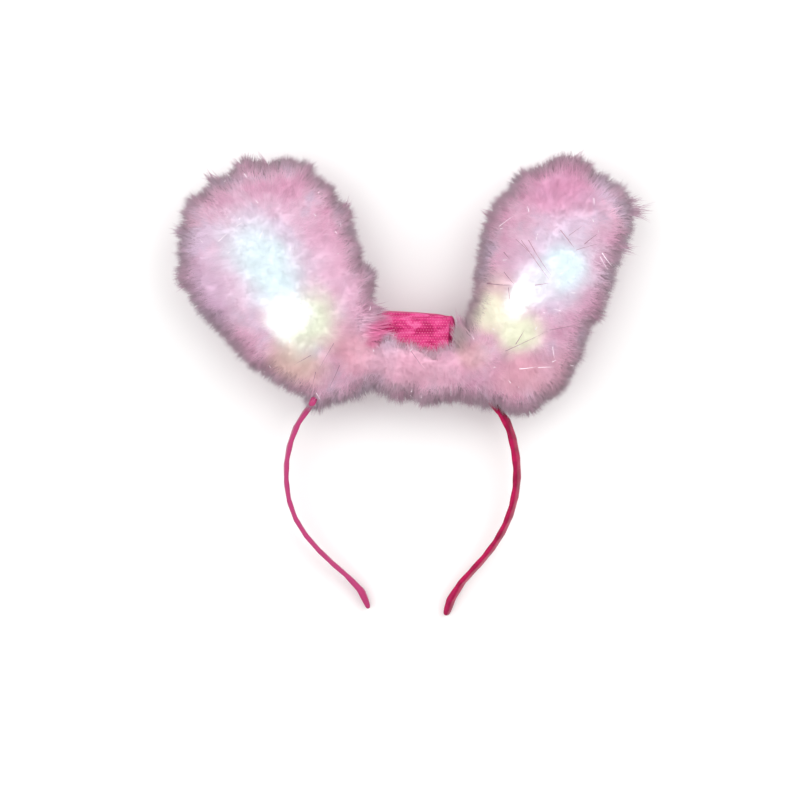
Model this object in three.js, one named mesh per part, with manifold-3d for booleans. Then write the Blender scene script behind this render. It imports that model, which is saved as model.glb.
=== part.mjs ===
// A light-up bunny ears headband, lying on its back: a hard band wound with satin ribbon, a satin
// battery pouch on its crown, and two ears and a bridge of marabou down that grip the band. Four lamps
// light the ears. Millimetres, +Z up off the surface it lies on, +Y towards the tips of the ears, +X to
// the right ear.
import * as THREE from 'three';
import { mergeVertices } from 'three/addons/utils/BufferGeometryUtils.js';
import Module from 'manifold-3d';

const wasm = await Module();
wasm.setup();

// Gap between pieces that touch
const clearance = 0.3;

// Band: half width and drops are to the middle of the strip
const loopHalfWidth = 65;
const leftArmDrop = 139;
const rightArmDrop = 143;
const stripWidth = 7;
const stripThickness = 2.4;
const leftTwist = 6;
const rightTwist = 26;
const ribbonPitch = 11;
const ribbonLip = 0.4;
const ribbonLipLength = 0.5;
const ribbonSlant = 4;
const endFoldLength = 20;
const endFoldThickness = 3.6;
const endFoldRamp = 3;

// Ears: sizes of the body of down that carries the locks
const leftEarLength = 138;
const leftEarWidth = 92;
const leftEarLean = 19.6;
const leftEarShift = 11;
const rightEarLength = 139;
const rightEarWidth = 76;
const rightEarLean = -13.1;
const rightEarShift = 8;
const earDepth = 46;
const earDish = 6;

// Bridge of down over the crown of the band
const bridgeHeight = 42;
const bridgeDepth = 42;
const bridgeBow = 10;

// Locks of down
const lockSpacing = 18.5;
const lockLength = 18;
const lockWidth = 17;
const lockThickness = 7;
const lockRoot = 4;
const lockLift = 22;
const lockStray = 14;
const lockVariation = 0.15;
const lockBend = { at: 0.55, width: 0.85 };
const lockFootWidth = 0.8;

// Battery pouch
const pouchWidth = 46;
const pouchHeight = 27;
const pouchDepth = 22;
const pouchShift = 6;
const pouchPleats = 5;
const pouchPleatDepth = 0.03;

// Lamps
const lampRadius = 2.5;
const lampHeight = 8.6;
const lampFlangeRadius = 2.9;
const lampFlangeHeight = 1;

// Each arm of the band from its crown: down as a share of the arm's drop, out as a share of loopHalfWidth
const leftArmRows = [
  { down: 0.033, out: 0.36 },
  { down: 0.093, out: 0.6 },
  { down: 0.156, out: 0.75 },
  { down: 0.235, out: 0.885 },
  { down: 0.355, out: 0.98 },
  { down: 0.46, out: 1 },
  { down: 0.56, out: 0.974 },
  { down: 0.64, out: 0.91 },
  { down: 0.72, out: 0.795 },
  { down: 0.8, out: 0.63 },
  { down: 0.88, out: 0.44 },
  { down: 0.945, out: 0.325 },
  { down: 1, out: 0.288 },
];
const rightArmRows = [
  { down: 0.032, out: 0.36 },
  { down: 0.09, out: 0.6 },
  { down: 0.15, out: 0.76 },
  { down: 0.227, out: 0.905 },
  { down: 0.345, out: 0.98 },
  { down: 0.445, out: 1 },
  { down: 0.54, out: 0.974 },
  { down: 0.62, out: 0.92 },
  { down: 0.7, out: 0.828 },
  { down: 0.776, out: 0.703 },
  { down: 0.855, out: 0.543 },
  { down: 0.915, out: 0.448 },
  { down: 1, out: 0.384 },
];

// Fullness of a body of down at shares of its length: left and right of half its width, front and back of
// half its depth. 1 is the plain round-ended form.
const leftEarRows = [
  { along: 0, left: 0.45, right: 0.62, front: 0.9, back: 0.9 },
  { along: 0.05, left: 0.47, right: 0.67, front: 0.9, back: 0.9 },
  { along: 0.13, left: 0.53, right: 0.72, front: 0.92, back: 0.93 },
  { along: 0.21, left: 0.73, right: 0.76, front: 0.95, back: 0.95 },
  { along: 0.38, left: 0.92, right: 0.87, front: 1, back: 0.98 },
  { along: 0.5, left: 1.09, right: 0.86, front: 1, back: 1 },
  { along: 0.6, left: 1.21, right: 0.81, front: 1, back: 1.02 },
  { along: 0.71, left: 1.24, right: 0.86, front: 1, back: 1.04 },
  { along: 0.82, left: 1.19, right: 0.85, front: 1, back: 1.04 },
  { along: 1, left: 1.17, right: 0.77, front: 0.95, back: 1 },
];
const rightEarRows = [
  { along: 0, left: 0.9, right: 0.5, front: 0.9, back: 0.9 },
  { along: 0.05, left: 0.94, right: 0.54, front: 0.9, back: 0.9 },
  { along: 0.13, left: 0.97, right: 0.63, front: 0.92, back: 0.93 },
  { along: 0.21, left: 0.95, right: 0.73, front: 0.95, back: 0.95 },
  { along: 0.38, left: 0.85, right: 0.75, front: 1, back: 0.98 },
  { along: 0.5, left: 0.93, right: 0.9, front: 1, back: 1 },
  { along: 0.6, left: 0.9, right: 0.94, front: 1, back: 1.02 },
  { along: 0.71, left: 0.92, right: 0.92, front: 1, back: 1.04 },
  { along: 0.82, left: 0.87, right: 1.13, front: 1, back: 1.04 },
  { along: 0.9, left: 0.82, right: 1.3, front: 0.98, back: 1.02 },
  { along: 1, left: 0.72, right: 1.3, front: 0.95, back: 1 },
];
// The bridge runs from the left ear to the right ear, so its left side faces up, to the tips of the ears
const bridgeRows = [
  { along: 0, left: 1, right: 0.8, front: 0.8, back: 0.95 },
  { along: 0.13, left: 1.3, right: 0.7, front: 0.9, back: 1 },
  { along: 0.25, left: 1.3, right: 0.6, front: 0.97, back: 1 },
  { along: 0.38, left: 0.6, right: 0.88, front: 1, back: 1 },
  { along: 0.5, left: 0.35, right: 1.06, front: 1, back: 1 },
  { along: 0.62, left: 0.45, right: 1.05, front: 1, back: 1 },
  { along: 0.75, left: 1.05, right: 0.94, front: 1, back: 1 },
  { along: 1, left: 1, right: 0.95, front: 0.8, back: 0.95 },
];

// Where each ear grips its arm, as a share of the arm's drop, and how far up the ears the bridge's ends lie
const leftEarSeat = 0.155;
const rightEarSeat = 0.185;
const bridgeEndAlong = 0.13;

// Lamps: along as a share of the ear's length, across as a share of half its width, from the ear's midline
const lampRows = [
  { name: 'lamp_left_lower', ear: 'left', along: 0.4, across: -0.12 },
  { name: 'lamp_left_upper', ear: 'left', along: 0.65, across: -0.2 },
  { name: 'lamp_right_lower', ear: 'right', along: 0.4, across: -0.36 },
  { name: 'lamp_right_upper', ear: 'right', along: 0.61, across: 0.21 },
];

// The strip's section, as shares of half its width and half its thickness
const stripProfile = [[1, 0], [0.9, 1], [0, 1], [-0.9, 1], [-1, 0], [-0.9, -1], [0, -1], [0.9, -1]];
// How each end of the band is rounded off: narrow is the share of the section left at a distance from the end
const endRounds = [{ from: 0.6, narrow: 0.6 }, { from: 2.4, narrow: 0.92 }];
// The arms twist between these shares of the band's length from its crown
const twistStart = 0.12;
const twistEnd = 0.2;

// How fine the facets are, and how round the ends and sections of the soft forms
const bodySides = 20;
const bodyRings = 12;
const lampSides = 10;
const meridianSteps = 48;
const lockReach = { along: 0.02, angle: 0.1 };
const widthRoundness = 3;
const depthRoundness = 3.2;
const sectionRoundness = 2.3;
const pouchRoundness = 3.4;
const pouchRings = [0.02, 0.1, 0.3, 0.5, 0.7, 0.9, 0.98];
const up = new THREE.Vector3(0, 0, 1);

// Geometry of a closed surface through rings of points, with a pole at each end
function loft(rings, startPole, endPole) {
  const sides = rings[0].length;
  const points = [...rings.flat(), startPole, endPole];
  const start = points.length - 2;
  const end = points.length - 1;
  const index = [];
  for (let j = 0; j < sides; j++) {
    const k = (j + 1) % sides;
    index.push(start, k, j);
    for (let i = 0; i < rings.length - 1; i++) {
      const a = i * sides;
      const b = a + sides;
      index.push(a + j, a + k, b + k, a + j, b + k, b + j);
    }
    const last = (rings.length - 1) * sides;
    index.push(end, last + j, last + k);
  }
  const geometry = new THREE.BufferGeometry().setFromPoints(points);
  geometry.setIndex(index);
  return geometry;
}

// A three.js geometry as a manifold-3d solid that faces outwards
function solidOf(geometry) {
  const bare = geometry.clone();
  bare.deleteAttribute('normal');
  bare.deleteAttribute('uv');
  const merged = mergeVertices(bare, 1e-4);
  const vertProperties = merged.attributes.position.array;
  const triVerts = new Uint32Array(merged.index.array);
  const made = new wasm.Manifold(new wasm.Mesh({ numProp: 3, vertProperties, triVerts }));
  if (made.volume() > 0) return made;
  return new wasm.Manifold(new wasm.Mesh({ numProp: 3, vertProperties, triVerts: triVerts.reverse() }));
}

function geometryOf(solid) {
  const mesh = solid.getMesh();
  const geometry = new THREE.BufferGeometry();
  geometry.setAttribute('position', new THREE.BufferAttribute(mesh.vertProperties, mesh.numProp));
  geometry.setIndex(new THREE.BufferAttribute(mesh.triVerts, 1));
  return geometry;
}

// The main body of a solid, without the slivers that a cut leaves
function mainBody(solid) {
  const bodies = solid.decompose();
  return bodies.reduce((best, body) => (body.volume() > best.volume() ? body : best));
}

// A number from -1 to 1 that looks random and is the same each run
function stray(...seeds) {
  const wave = Math.sin(seeds.reduce((sum, seed, k) => sum + seed * (12.9898 + 65.233 * k), 1)) * 43758.5453;
  return 2 * (wave - Math.floor(wave)) - 1;
}

const raised = (value, power) => Math.sign(value) * Math.abs(value) ** power;

// Smooth values between the rows of a table whose first column is a share
function smoothTable(rows) {
  const names = Object.keys(rows[0]).slice(1);
  const shares = rows.map((row) => row[Object.keys(row)[0]]);
  const values = rows.flatMap((row) => names.map((name) => row[name]));
  const curve = new THREE.CubicInterpolant(shares, values, names.length);
  return (share) => {
    const result = curve.evaluate(share);
    return Object.fromEntries(names.map((name, i) => [name, result[i]]));
  };
}

// Shares of a length that stand closer together towards both ends
const fromEndToEnd = (share) => 0.5 - 0.5 * Math.cos(Math.PI * share);

// Round ends: how much of the full size is left at a share of the length
const roundEnds = (along, roundness) =>
  Math.max(0, 1 - Math.abs(2 * along - 1) ** roundness) ** (1 / roundness);

// A body of down is a frame (where it starts, which way it runs) with a width, a depth and a table
function bodySurface(body) {
  const table = smoothTable(body.rows);
  const across = body.axis.clone().cross(up).normalize();
  return (along, angle, grow = 0) => {
    const row = table(along);
    const c = raised(Math.cos(angle), 2 / sectionRoundness);
    const s = raised(Math.sin(angle), 2 / sectionRoundness);
    const wide = roundEnds(along, widthRoundness);
    const deep = roundEnds(along, depthRoundness);
    const halfWidth = ((c > 0 ? row.right : row.left) * body.width * wide) / 2 + grow;
    const halfDepth = ((s > 0 ? row.front : row.back) * body.depth * deep) / 2 + grow;
    const dish = s > 0 ? body.dish * wide * s * (1 - c * c) : 0;
    const bow = body.bow * Math.sin(Math.PI * along);
    return body.start.clone()
      .addScaledVector(body.axis, body.length * along + grow * (2 * along - 1))
      .addScaledVector(across, halfWidth * c - bow)
      .addScaledVector(up, halfDepth * s - dish);
  };
}

function ringOf(surface, along, grow = 0) {
  return Array.from({ length: bodySides }, (_, j) => surface(along, (j / bodySides) * 2 * Math.PI, grow));
}

function bodySolid(surface, grow = 0) {
  const rings = Array.from({ length: bodyRings }, (_, i) =>
    ringOf(surface, fromEndToEnd((i + 0.5) / bodyRings), grow));
  return solidOf(loft(rings, surface(0, 0, grow), surface(1, 0, grow)));
}

// One lock: a flat tapering tuft with a bend, rooted under the surface
function lockSolid(root, direction, outward, size) {
  const side = direction.clone().cross(outward).normalize();
  const rise = side.clone().cross(direction).normalize();
  const section = (share, wide, lift) => {
    const middle = root.clone()
      .addScaledVector(direction, size * share - lockRoot)
      .addScaledVector(rise, lift);
    return [[1, -0.5], [0, 1], [-1, -0.5]].map(([a, b]) => middle.clone()
      .addScaledVector(side, (a * wide * lockWidth) / 2)
      .addScaledVector(rise, (b * wide * lockThickness) / 2));
  };
  const base = section(0, lockFootWidth, 0);
  const bend = section(lockBend.at, lockBend.width, lockThickness / 4);
  const tip = root.clone().addScaledVector(direction, size - lockRoot);
  const pole = root.clone().addScaledVector(direction, -lockRoot);
  return solidOf(loft([base, bend], pole, tip));
}

// Places of the rows of locks along a body, evenly spaced over its surface from end to end
function rowPlaces(surface) {
  const shares = Array.from({ length: meridianSteps + 1 }, (_, i) => fromEndToEnd(i / meridianSteps));
  const reach = [0];
  for (let i = 1; i <= meridianSteps; i++) {
    const steps = [0, Math.PI / 2, Math.PI, (3 * Math.PI) / 2].map((angle) =>
      surface(shares[i], angle).distanceTo(surface(shares[i - 1], angle)));
    reach.push(reach[i - 1] + steps.reduce((sum, step) => sum + step) / steps.length);
  }
  const rows = Math.max(3, Math.round(reach[meridianSteps] / lockSpacing));
  return Array.from({ length: rows }, (_, i) => {
    const wanted = (reach[meridianSteps] * (i + 0.5)) / rows;
    const k = reach.findIndex((value) => value >= wanted);
    return THREE.MathUtils.mapLinear(wanted, reach[k - 1], reach[k], shares[k - 1], shares[k]);
  });
}

// Locks stand in rows round a body, each row shifted by half a lock, and sweep towards the body's far end
function lockSolids(body, surface) {
  const locks = [];
  const places = rowPlaces(surface);
  for (const [i, along] of places.entries()) {
    const ring = ringOf(surface, along);
    const girth = ring.reduce((sum, p, j) => sum + p.distanceTo(ring[(j + 1) % ring.length]), 0);
    const count = Math.max(5, Math.round(girth / lockSpacing));
    for (let j = 0; j < count; j++) {
      const angle = ((j + (i % 2) / 2) / count) * 2 * Math.PI;
      const root = surface(along, angle);
      const forward = surface(Math.min(1, along + lockReach.along), angle)
        .sub(surface(Math.max(0, along - lockReach.along), angle));
      const round = surface(along, angle + lockReach.angle).sub(surface(along, angle - lockReach.angle));
      const outward = forward.clone().cross(round).normalize();
      const lift = THREE.MathUtils.degToRad(lockLift);
      const turn = THREE.MathUtils.degToRad(lockStray) * stray(i, j, body.seed);
      const direction = forward.normalize().applyAxisAngle(outward, turn).multiplyScalar(Math.cos(lift))
        .addScaledVector(outward, Math.sin(lift)).normalize();
      const size = lockLength * (1 + lockVariation * stray(j, i, body.seed + 7));
      locks.push(lockSolid(root, direction, outward, size));
    }
  }
  return locks;
}

// A body of down with its locks fused on
function downSolid(body) {
  const surface = bodySurface(body);
  return wasm.Manifold.union([bodySolid(surface), ...lockSolids(body, surface)]);
}

// The room that a body of down takes up with its locks, to cut its neighbour
function downRoom(body) {
  const reach = (1 + lockVariation) * lockLength - lockRoot;
  const lockHeight = reach * Math.sin(THREE.MathUtils.degToRad(lockLift)) + lockThickness / 4;
  return bodySolid(bodySurface(body), lockHeight + clearance);
}

// The middle line of an arm at a share of its drop, in the plane of the crown
function armPoint(rows, drop, side, share) {
  const table = smoothTable([{ down: 0, out: 0 }, ...rows]);
  return new THREE.Vector3(side * loopHalfWidth * table(share).out, -drop * share, 0);
}

function earBody(side) {
  const left = side < 0;
  const rows = left ? leftArmRows : rightArmRows;
  const seat = left ? leftEarSeat : rightEarSeat;
  const lean = THREE.MathUtils.degToRad(left ? leftEarLean : rightEarLean);
  const start = armPoint(rows, left ? leftArmDrop : rightArmDrop, side, seat);
  start.x += left ? leftEarShift : rightEarShift;
  return {
    start,
    axis: new THREE.Vector3(-Math.sin(lean), Math.cos(lean), 0),
    length: left ? leftEarLength : rightEarLength,
    width: left ? leftEarWidth : rightEarWidth,
    depth: earDepth,
    dish: earDish,
    bow: 0,
    rows: left ? leftEarRows : rightEarRows,
    seed: left ? 1 : 2,
  };
}

const midline = (body, along) => body.start.clone().addScaledVector(body.axis, body.length * along);

// The bridge's ends lie on the ears' midlines, and it bows up over the crown of the band
function bridgeBody(leftEar, rightEar) {
  const start = midline(leftEar, bridgeEndAlong);
  const end = midline(rightEar, bridgeEndAlong);
  const span = end.clone().sub(start);
  return {
    start,
    axis: span.clone().normalize(),
    length: span.length(),
    width: bridgeHeight,
    depth: bridgeDepth,
    dish: 0,
    bow: bridgeBow,
    rows: bridgeRows,
    seed: 3,
  };
}

// The whole line of the band: from the left tip over the crown to the right tip. The plane of the arms slopes
// down from the crown, so that both tips rest at the given height.
function bandLine(tipHeight) {
  const side = (rows, drop, sign) => rows.map(({ down, out }) =>
    new THREE.Vector3(sign * loopHalfWidth * out, -drop * down, tipHeight * down));
  return new THREE.CatmullRomCurve3([
    ...side(leftArmRows, leftArmDrop, -1).reverse(),
    new THREE.Vector3(0, 0, 0),
    ...side(rightArmRows, rightArmDrop, 1),
  ], false, 'centripetal');
}

// The band's strip, thicker where the ribbon is folded over each end. Each turn of the ribbon rises to a
// lip and drops to the turn under it. With no lip and a growth it is the plain form that cuts the band's way
// through the down.
function bandSolid(line, tilt, lip = ribbonLip, grow = 0) {
  const length = line.getLength();
  const face = new THREE.Vector3(0, -Math.sin(tilt), Math.cos(tilt));
  const thicknessAt = (fromEnd) => THREE.MathUtils.lerp(endFoldThickness, stripThickness,
    THREE.MathUtils.smoothstep(fromEnd, endFoldLength - endFoldRamp, endFoldLength));
  const pointAt = (at, wide, thick, rise) => {
    const share = THREE.MathUtils.clamp(at / length, 0, 1);
    const fromCrown = Math.abs(share - 0.5);
    const twist = (share < 0.5 ? leftTwist : rightTwist)
      * THREE.MathUtils.smoothstep(fromCrown, twistStart, twistEnd);
    const tangent = line.getTangentAt(share);
    const flat = face.clone().addScaledVector(tangent, -face.dot(tangent)).normalize()
      .applyAxisAngle(tangent, THREE.MathUtils.degToRad(twist));
    const out = tangent.clone().cross(flat);
    return line.getPointAt(share)
      .addScaledVector(flat, (wide * stripWidth) / 2 + Math.sign(wide) * rise)
      .addScaledVector(out, thick * (thicknessAt(Math.min(at, length - at)) / 2 + rise));
  };
  const ring = ({ at, rise = 0, narrow = 1, slant = 0 }) => stripProfile.map(([wide, thick]) =>
    pointAt(at + (slant * wide) / 2, wide * narrow, thick * narrow, rise + grow));
  const turns = Math.round(length / ribbonPitch);
  const wound = Array.from({ length: turns - 1 }, (_, i) => ((i + 1) * length) / turns).flatMap((at) => [
    ring({ at, rise: lip, slant: ribbonSlant }),
    ...(lip > 0 ? [ring({ at: at + ribbonLipLength, slant: ribbonSlant })] : []),
  ]);
  const start = endRounds.map(({ from, narrow }) => ring({ at: from, narrow }));
  const end = endRounds.map(({ from, narrow }) => ring({ at: length - from, narrow })).reverse();
  const pole = (share) => line.getPointAt(share)
    .addScaledVector(line.getTangentAt(share), (2 * share - 1) * grow);
  return solidOf(loft([...start, ...wound, ...end], pole(0), pole(1)));
}

// The pouch: a soft box of satin on the crown of the band, pinched in at its gathered ends
function pouchSolid(grow = 0) {
  const seat = stripThickness / 2 + ribbonLip + clearance;
  const middle = new THREE.Vector3(pouchShift, seat + pouchHeight / 2, 0);
  const rings = pouchRings.map((share) => {
    const full = roundEnds(share, pouchRoundness * 2);
    return Array.from({ length: bodySides }, (_, j) => {
      const angle = (j / bodySides) * 2 * Math.PI;
      const pleat = 1 - pouchPleatDepth * Math.cos(pouchPleats * angle) * Math.abs(2 * share - 1);
      const c = raised(Math.cos(angle), 2 / pouchRoundness) * full * pleat;
      const s = raised(Math.sin(angle), 2 / pouchRoundness) * full * pleat;
      return middle.clone().add(new THREE.Vector3(
        (share - 0.5) * (pouchWidth + 2 * grow),
        c * (pouchHeight / 2 + grow),
        s * (pouchDepth / 2 + grow),
      ));
    });
  });
  const end = (sign) => middle.clone().add(new THREE.Vector3(sign * (pouchWidth / 2 + grow), 0, 0));
  return solidOf(loft(rings, end(-1), end(1)));
}

// A round lamp with a flange and a domed lens, standing on the middle plane of its ear
function lampGeometry() {
  const shoulder = lampHeight - lampRadius;
  const profile = [new THREE.Vector2(0, 0), new THREE.Vector2(lampFlangeRadius, 0),
    new THREE.Vector2(lampFlangeRadius, lampFlangeHeight), new THREE.Vector2(lampRadius, lampFlangeHeight)];
  for (const angle of [0, 30, 60].map(THREE.MathUtils.degToRad)) {
    profile.push(new THREE.Vector2(lampRadius * Math.cos(angle), shoulder + lampRadius * Math.sin(angle)));
  }
  profile.push(new THREE.Vector2(0, lampHeight));
  return new THREE.LatheGeometry(profile, lampSides).rotateX(Math.PI / 2);
}

function lampPlace(row, ear) {
  const across = ear.axis.clone().cross(up);
  return midline(ear, row.along).addScaledVector(across, (row.across * ear.width) / 2)
    .addScaledVector(up, -lampHeight / 2);
}

// The socket that holds a lamp, open to the front of the ear so that its light comes out
function socketSolid(place) {
  const radius = lampFlangeRadius + clearance;
  const height = earDepth;
  const geometry = new THREE.CylinderGeometry(radius, radius, height, lampSides).rotateX(Math.PI / 2);
  geometry.translate(place.x, place.y, place.z - clearance + height / 2);
  return solidOf(geometry);
}

function satin(color) {
  return new THREE.MeshStandardMaterial({ color, roughness: 0.4, metalness: 0 });
}

function down() {
  return new THREE.MeshStandardMaterial({ color: 0xeab4d0, roughness: 0.95, metalness: 0 });
}

function lens() {
  return new THREE.MeshStandardMaterial({ color: 0xf4fbff, roughness: 0.15, metalness: 0, emissive: 0xf4fbff });
}

function piece(name, geometry, material) {
  const mesh = new THREE.Mesh(geometry, material);
  mesh.name = name;
  return mesh;
}

const leftEar = earBody(-1);
const rightEar = earBody(1);
const bridge = bridgeBody(leftEar, rightEar);
const leftDown = downSolid(leftEar);
const rightDown = downSolid(rightEar);

// The surface that the down lies on, and the slope that brings the band's tips to it
const floorHeight = Math.min(leftDown.boundingBox().min[2], rightDown.boundingBox().min[2]);
const tipHeight = floorHeight + stripWidth / 2;
const tilt = Math.atan2(-tipHeight, (leftArmDrop + rightArmDrop) / 2);
const line = bandLine(tipHeight);
const bandCut = bandSolid(line, tilt, 0, ribbonLip + clearance);
const pouchCut = pouchSolid(clearance);

const earCuts = (side) => [bandCut, pouchCut, ...lampRows.filter((row) => row.ear === side)
  .map((row) => socketSolid(lampPlace(row, side === 'left' ? leftEar : rightEar)))];
const cut = (solid, tools) => mainBody(solid.subtract(wasm.Manifold.union(tools)));
const earRooms = [downRoom(leftEar), downRoom(rightEar)];

const model = new THREE.Group();
model.add(piece('headband', geometryOf(bandSolid(line, tilt)), satin(0xc81e63)));
model.add(piece('battery_pouch', geometryOf(pouchSolid()), satin(0xe0357f)));
model.add(piece('ear_left', geometryOf(cut(leftDown, earCuts('left'))), down()));
model.add(piece('ear_right', geometryOf(cut(rightDown, earCuts('right'))), down()));
model.add(piece('bridge', geometryOf(cut(downSolid(bridge), [bandCut, pouchCut, ...earRooms])), down()));
for (const row of lampRows) {
  const lamp = piece(row.name, lampGeometry(), lens());
  lamp.position.copy(lampPlace(row, row.ear === 'left' ? leftEar : rightEar));
  model.add(lamp);
}

// The origin is under the middle of the whole, on the surface it lies on
const whole = new THREE.Box3().setFromObject(model);
model.position.set(-(whole.min.x + whole.max.x) / 2, -(whole.min.y + whole.max.y) / 2, -whole.min.z);

const headband = new THREE.Group();
headband.add(model);

export default headband;
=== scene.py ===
"""Light-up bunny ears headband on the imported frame, lying on its back. Metres, +Z up, +Y to the ears' tips."""
import math

import bpy
import numpy as np
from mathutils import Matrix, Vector
from mathutils.bvhtree import BVHTree
from mathutils.kdtree import KDTree


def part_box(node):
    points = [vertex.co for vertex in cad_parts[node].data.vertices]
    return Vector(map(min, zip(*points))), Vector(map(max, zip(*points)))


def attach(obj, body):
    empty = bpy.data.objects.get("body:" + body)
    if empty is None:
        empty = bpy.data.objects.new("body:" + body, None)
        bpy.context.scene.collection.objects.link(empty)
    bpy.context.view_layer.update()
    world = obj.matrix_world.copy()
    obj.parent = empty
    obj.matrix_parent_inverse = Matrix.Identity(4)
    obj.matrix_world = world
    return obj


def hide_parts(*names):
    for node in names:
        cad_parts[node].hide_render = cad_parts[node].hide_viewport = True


MM = 0.001
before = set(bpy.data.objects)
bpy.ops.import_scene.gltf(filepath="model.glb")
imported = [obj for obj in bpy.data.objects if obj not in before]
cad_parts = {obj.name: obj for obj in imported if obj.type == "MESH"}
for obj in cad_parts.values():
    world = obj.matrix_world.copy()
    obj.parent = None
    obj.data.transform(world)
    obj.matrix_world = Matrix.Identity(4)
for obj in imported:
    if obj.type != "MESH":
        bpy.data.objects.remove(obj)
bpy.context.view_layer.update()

# Camera straight above the front of the ears
CAMERA_HEIGHT = 2.4
CAMERA_LENS = 190.6
CAMERA_MIDDLE = (-3.2 * MM, -8.2 * MM)

# Colours, sRGB
PINK_DOWN = "#e3b8ce"
ROSE_DOWN = "#dea6c2"
LILAC_DOWN = "#dcc2d8"
# Painted shade: the mauve grey that the down is darkened to at its rim, most at the strands' tips
RIM_SHADE_MAUVE = "#9d828f"
QUILL_ROSE = "#a87b90"
TINSEL_WHITE = "#fbeef6"
RIBBON_MAGENTA = "#b00b4c"
RIBBON_DEEP = "#8c073a"
# Painted light: the paler pink that the ribbon turns towards the left arm
RIBBON_LIT_PINK = "#b64478"
POUCH_PINK = "#d2357b"
# Painted shade and painted highlight that the pouch's satin pink is mottled with
POUCH_FOLD_SHADE = "#b0155a"
POUCH_LUMP_HIGHLIGHT = "#e0609a"
SEQUIN_PINK = "#f58fbb"
LAMP_WHITE = "#f4fbff"
FLOOR_PALE = "#f6f5f4"

# Painted lamp light on the down: the rows that name a lamp are light round that lamp. The other rows are drifts in
# its dye, save those marked below as painted light or painted shade. at is in millimetres, across and up from the lamp
# if one is named, radii too, turn in degrees. Where light is 0 the patch only tints. Later rows lie over earlier ones.
PATCHES = [
    {"lamp": "", "at": (86, 108), "radii": (34, 26), "turn": 0, "colour": "#dc98bb", "light": 0, "most": 0.8},
    # Painted shade in part: this lilac drift on the left ear's left side is darker than the down around it
    {"lamp": "", "at": (-112, 46), "radii": (22, 50), "turn": 15, "colour": "#d2b2d0", "light": 0, "most": 0.6},
    # Painted light: a brighter pink that glows a little, on the left ear's right side
    {"lamp": "", "at": (-38, 60), "radii": (24, 44), "turn": 15, "colour": "#ecbdd5", "light": 0.02, "most": 0.7},
    {"lamp": "", "at": (-30, 20), "radii": (20, 20), "turn": 0, "colour": "#e8b1bf", "light": 0, "most": 0.7},
    # Painted light: a brighter pink that glows a little, across the bridge
    {"lamp": "", "at": (4, 10), "radii": (46, 20), "turn": -8, "colour": "#edb8cc", "light": 0.02, "most": 0.7},
    # Painted shade: a grey patch in the nook beside the pouch's right end
    {"lamp": "", "at": (30, 26), "radii": (9, 15), "turn": 0, "colour": "#a59a92", "light": 0, "most": 0.7},
    {"lamp": "", "at": (-11, 33), "radii": (18, 9), "turn": 10, "colour": "#dc5c94", "light": 0, "most": 0.85},
    {"lamp": "", "at": (-17, 26), "radii": (10, 6), "turn": 30, "colour": "#dc5c94", "light": 0, "most": 0.6},
    {"lamp": "", "at": (84, 2), "radii": (26, 26), "turn": 0, "colour": "#e3adc0", "light": 0, "most": 0.8},
    {"lamp": "", "at": (63, 4), "radii": (24, 20), "turn": 0, "colour": "#e9b0bf", "light": 0, "most": 0.7},
    {"lamp": "", "at": (37, 16), "radii": (16, 15), "turn": 0, "colour": "#e4b6bb", "light": 0, "most": 0.7},
    {"lamp": "lamp_left_lower", "at": (2, -30), "radii": (28, 16), "turn": -25, "colour": "#e2c6b8", "light": 0, "most": 0.75},
    {"lamp": "lamp_left_upper", "at": (-2, -5), "radii": (50, 56), "turn": 30, "colour": "#e8d4e6", "light": 0.02, "most": 0.8},
    {"lamp": "lamp_left_lower", "at": (8, -6), "radii": (30, 29), "turn": 0, "colour": "#e4ead4", "light": 0.05, "most": 0.95},
    {"lamp": "lamp_left_upper", "at": (1, -6), "radii": (27, 44), "turn": 38, "colour": "#dfecf1", "light": 0.06, "most": 1},
    {"lamp": "lamp_left_lower", "at": (-7, 12), "radii": (18, 18), "turn": 30, "colour": "#dfeef3", "light": 0.02, "most": 0.7},
    {"lamp": "lamp_left_lower", "at": (-2, -3), "radii": (20, 19), "turn": 0, "colour": "#ffffff", "light": 0.14, "most": 1},
    {"lamp": "lamp_right_upper", "at": (-3, 0), "radii": (40, 50), "turn": -30, "colour": "#ead8ea", "light": 0.02, "most": 0.75},
    {"lamp": "lamp_right_lower", "at": (-10, 8), "radii": (21, 18), "turn": 0, "colour": "#edccc8", "light": 0.03, "most": 0.7},
    {"lamp": "lamp_right_lower", "at": (-12, -3), "radii": (21, 18), "turn": 10, "colour": "#f0ecd6", "light": 0.1, "most": 0.95},
    {"lamp": "lamp_right_lower", "at": (3, -14), "radii": (20, 21), "turn": 0, "colour": "#eaecd4", "light": 0.1, "most": 0.95},
    {"lamp": "lamp_right_upper", "at": (1, -1), "radii": (23, 23), "turn": 0, "colour": "#deedf3", "light": 0.1, "most": 1},
    {"lamp": "lamp_right_lower", "at": (12, 12), "radii": (22, 17), "turn": 40, "colour": "#ecebf2", "light": 0.09, "most": 0.9},
    {"lamp": "lamp_right_lower", "at": (4, 4), "radii": (11, 16), "turn": -30, "colour": "#ffffff", "light": 0.12, "most": 0.9},
]
PATCH_LIFT = 18 * MM
PATCH_DEPTH = 55 * MM
PATCH_WANDER = 6 * MM

# The down. Lengths, widths and the spacing of clumps in millimetres.
DOWN_NODES = ("ear_left", "ear_right", "bridge")
# A faint glow of its own colour over all the down: painted light that lifts the shade between its strands
DOWN_PAINTED_GLOW = 0.12
NOOK_CLOSING = 6 * MM
DOWN_INSET = 3.3 * MM
LUMP_DEPTH = 14 * MM
FLOOR_GAP = 1.2 * MM
# The underlayer is darkened to this share: painted shade for the shadow under the strands
UNDERLAYER_PAINTED_SHADE = 0.9
SPINE_SHARES = (0.3, 0.72)
SPINE_CALM = 18 * MM
OUTLINE_CELL = 2 * MM
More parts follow.
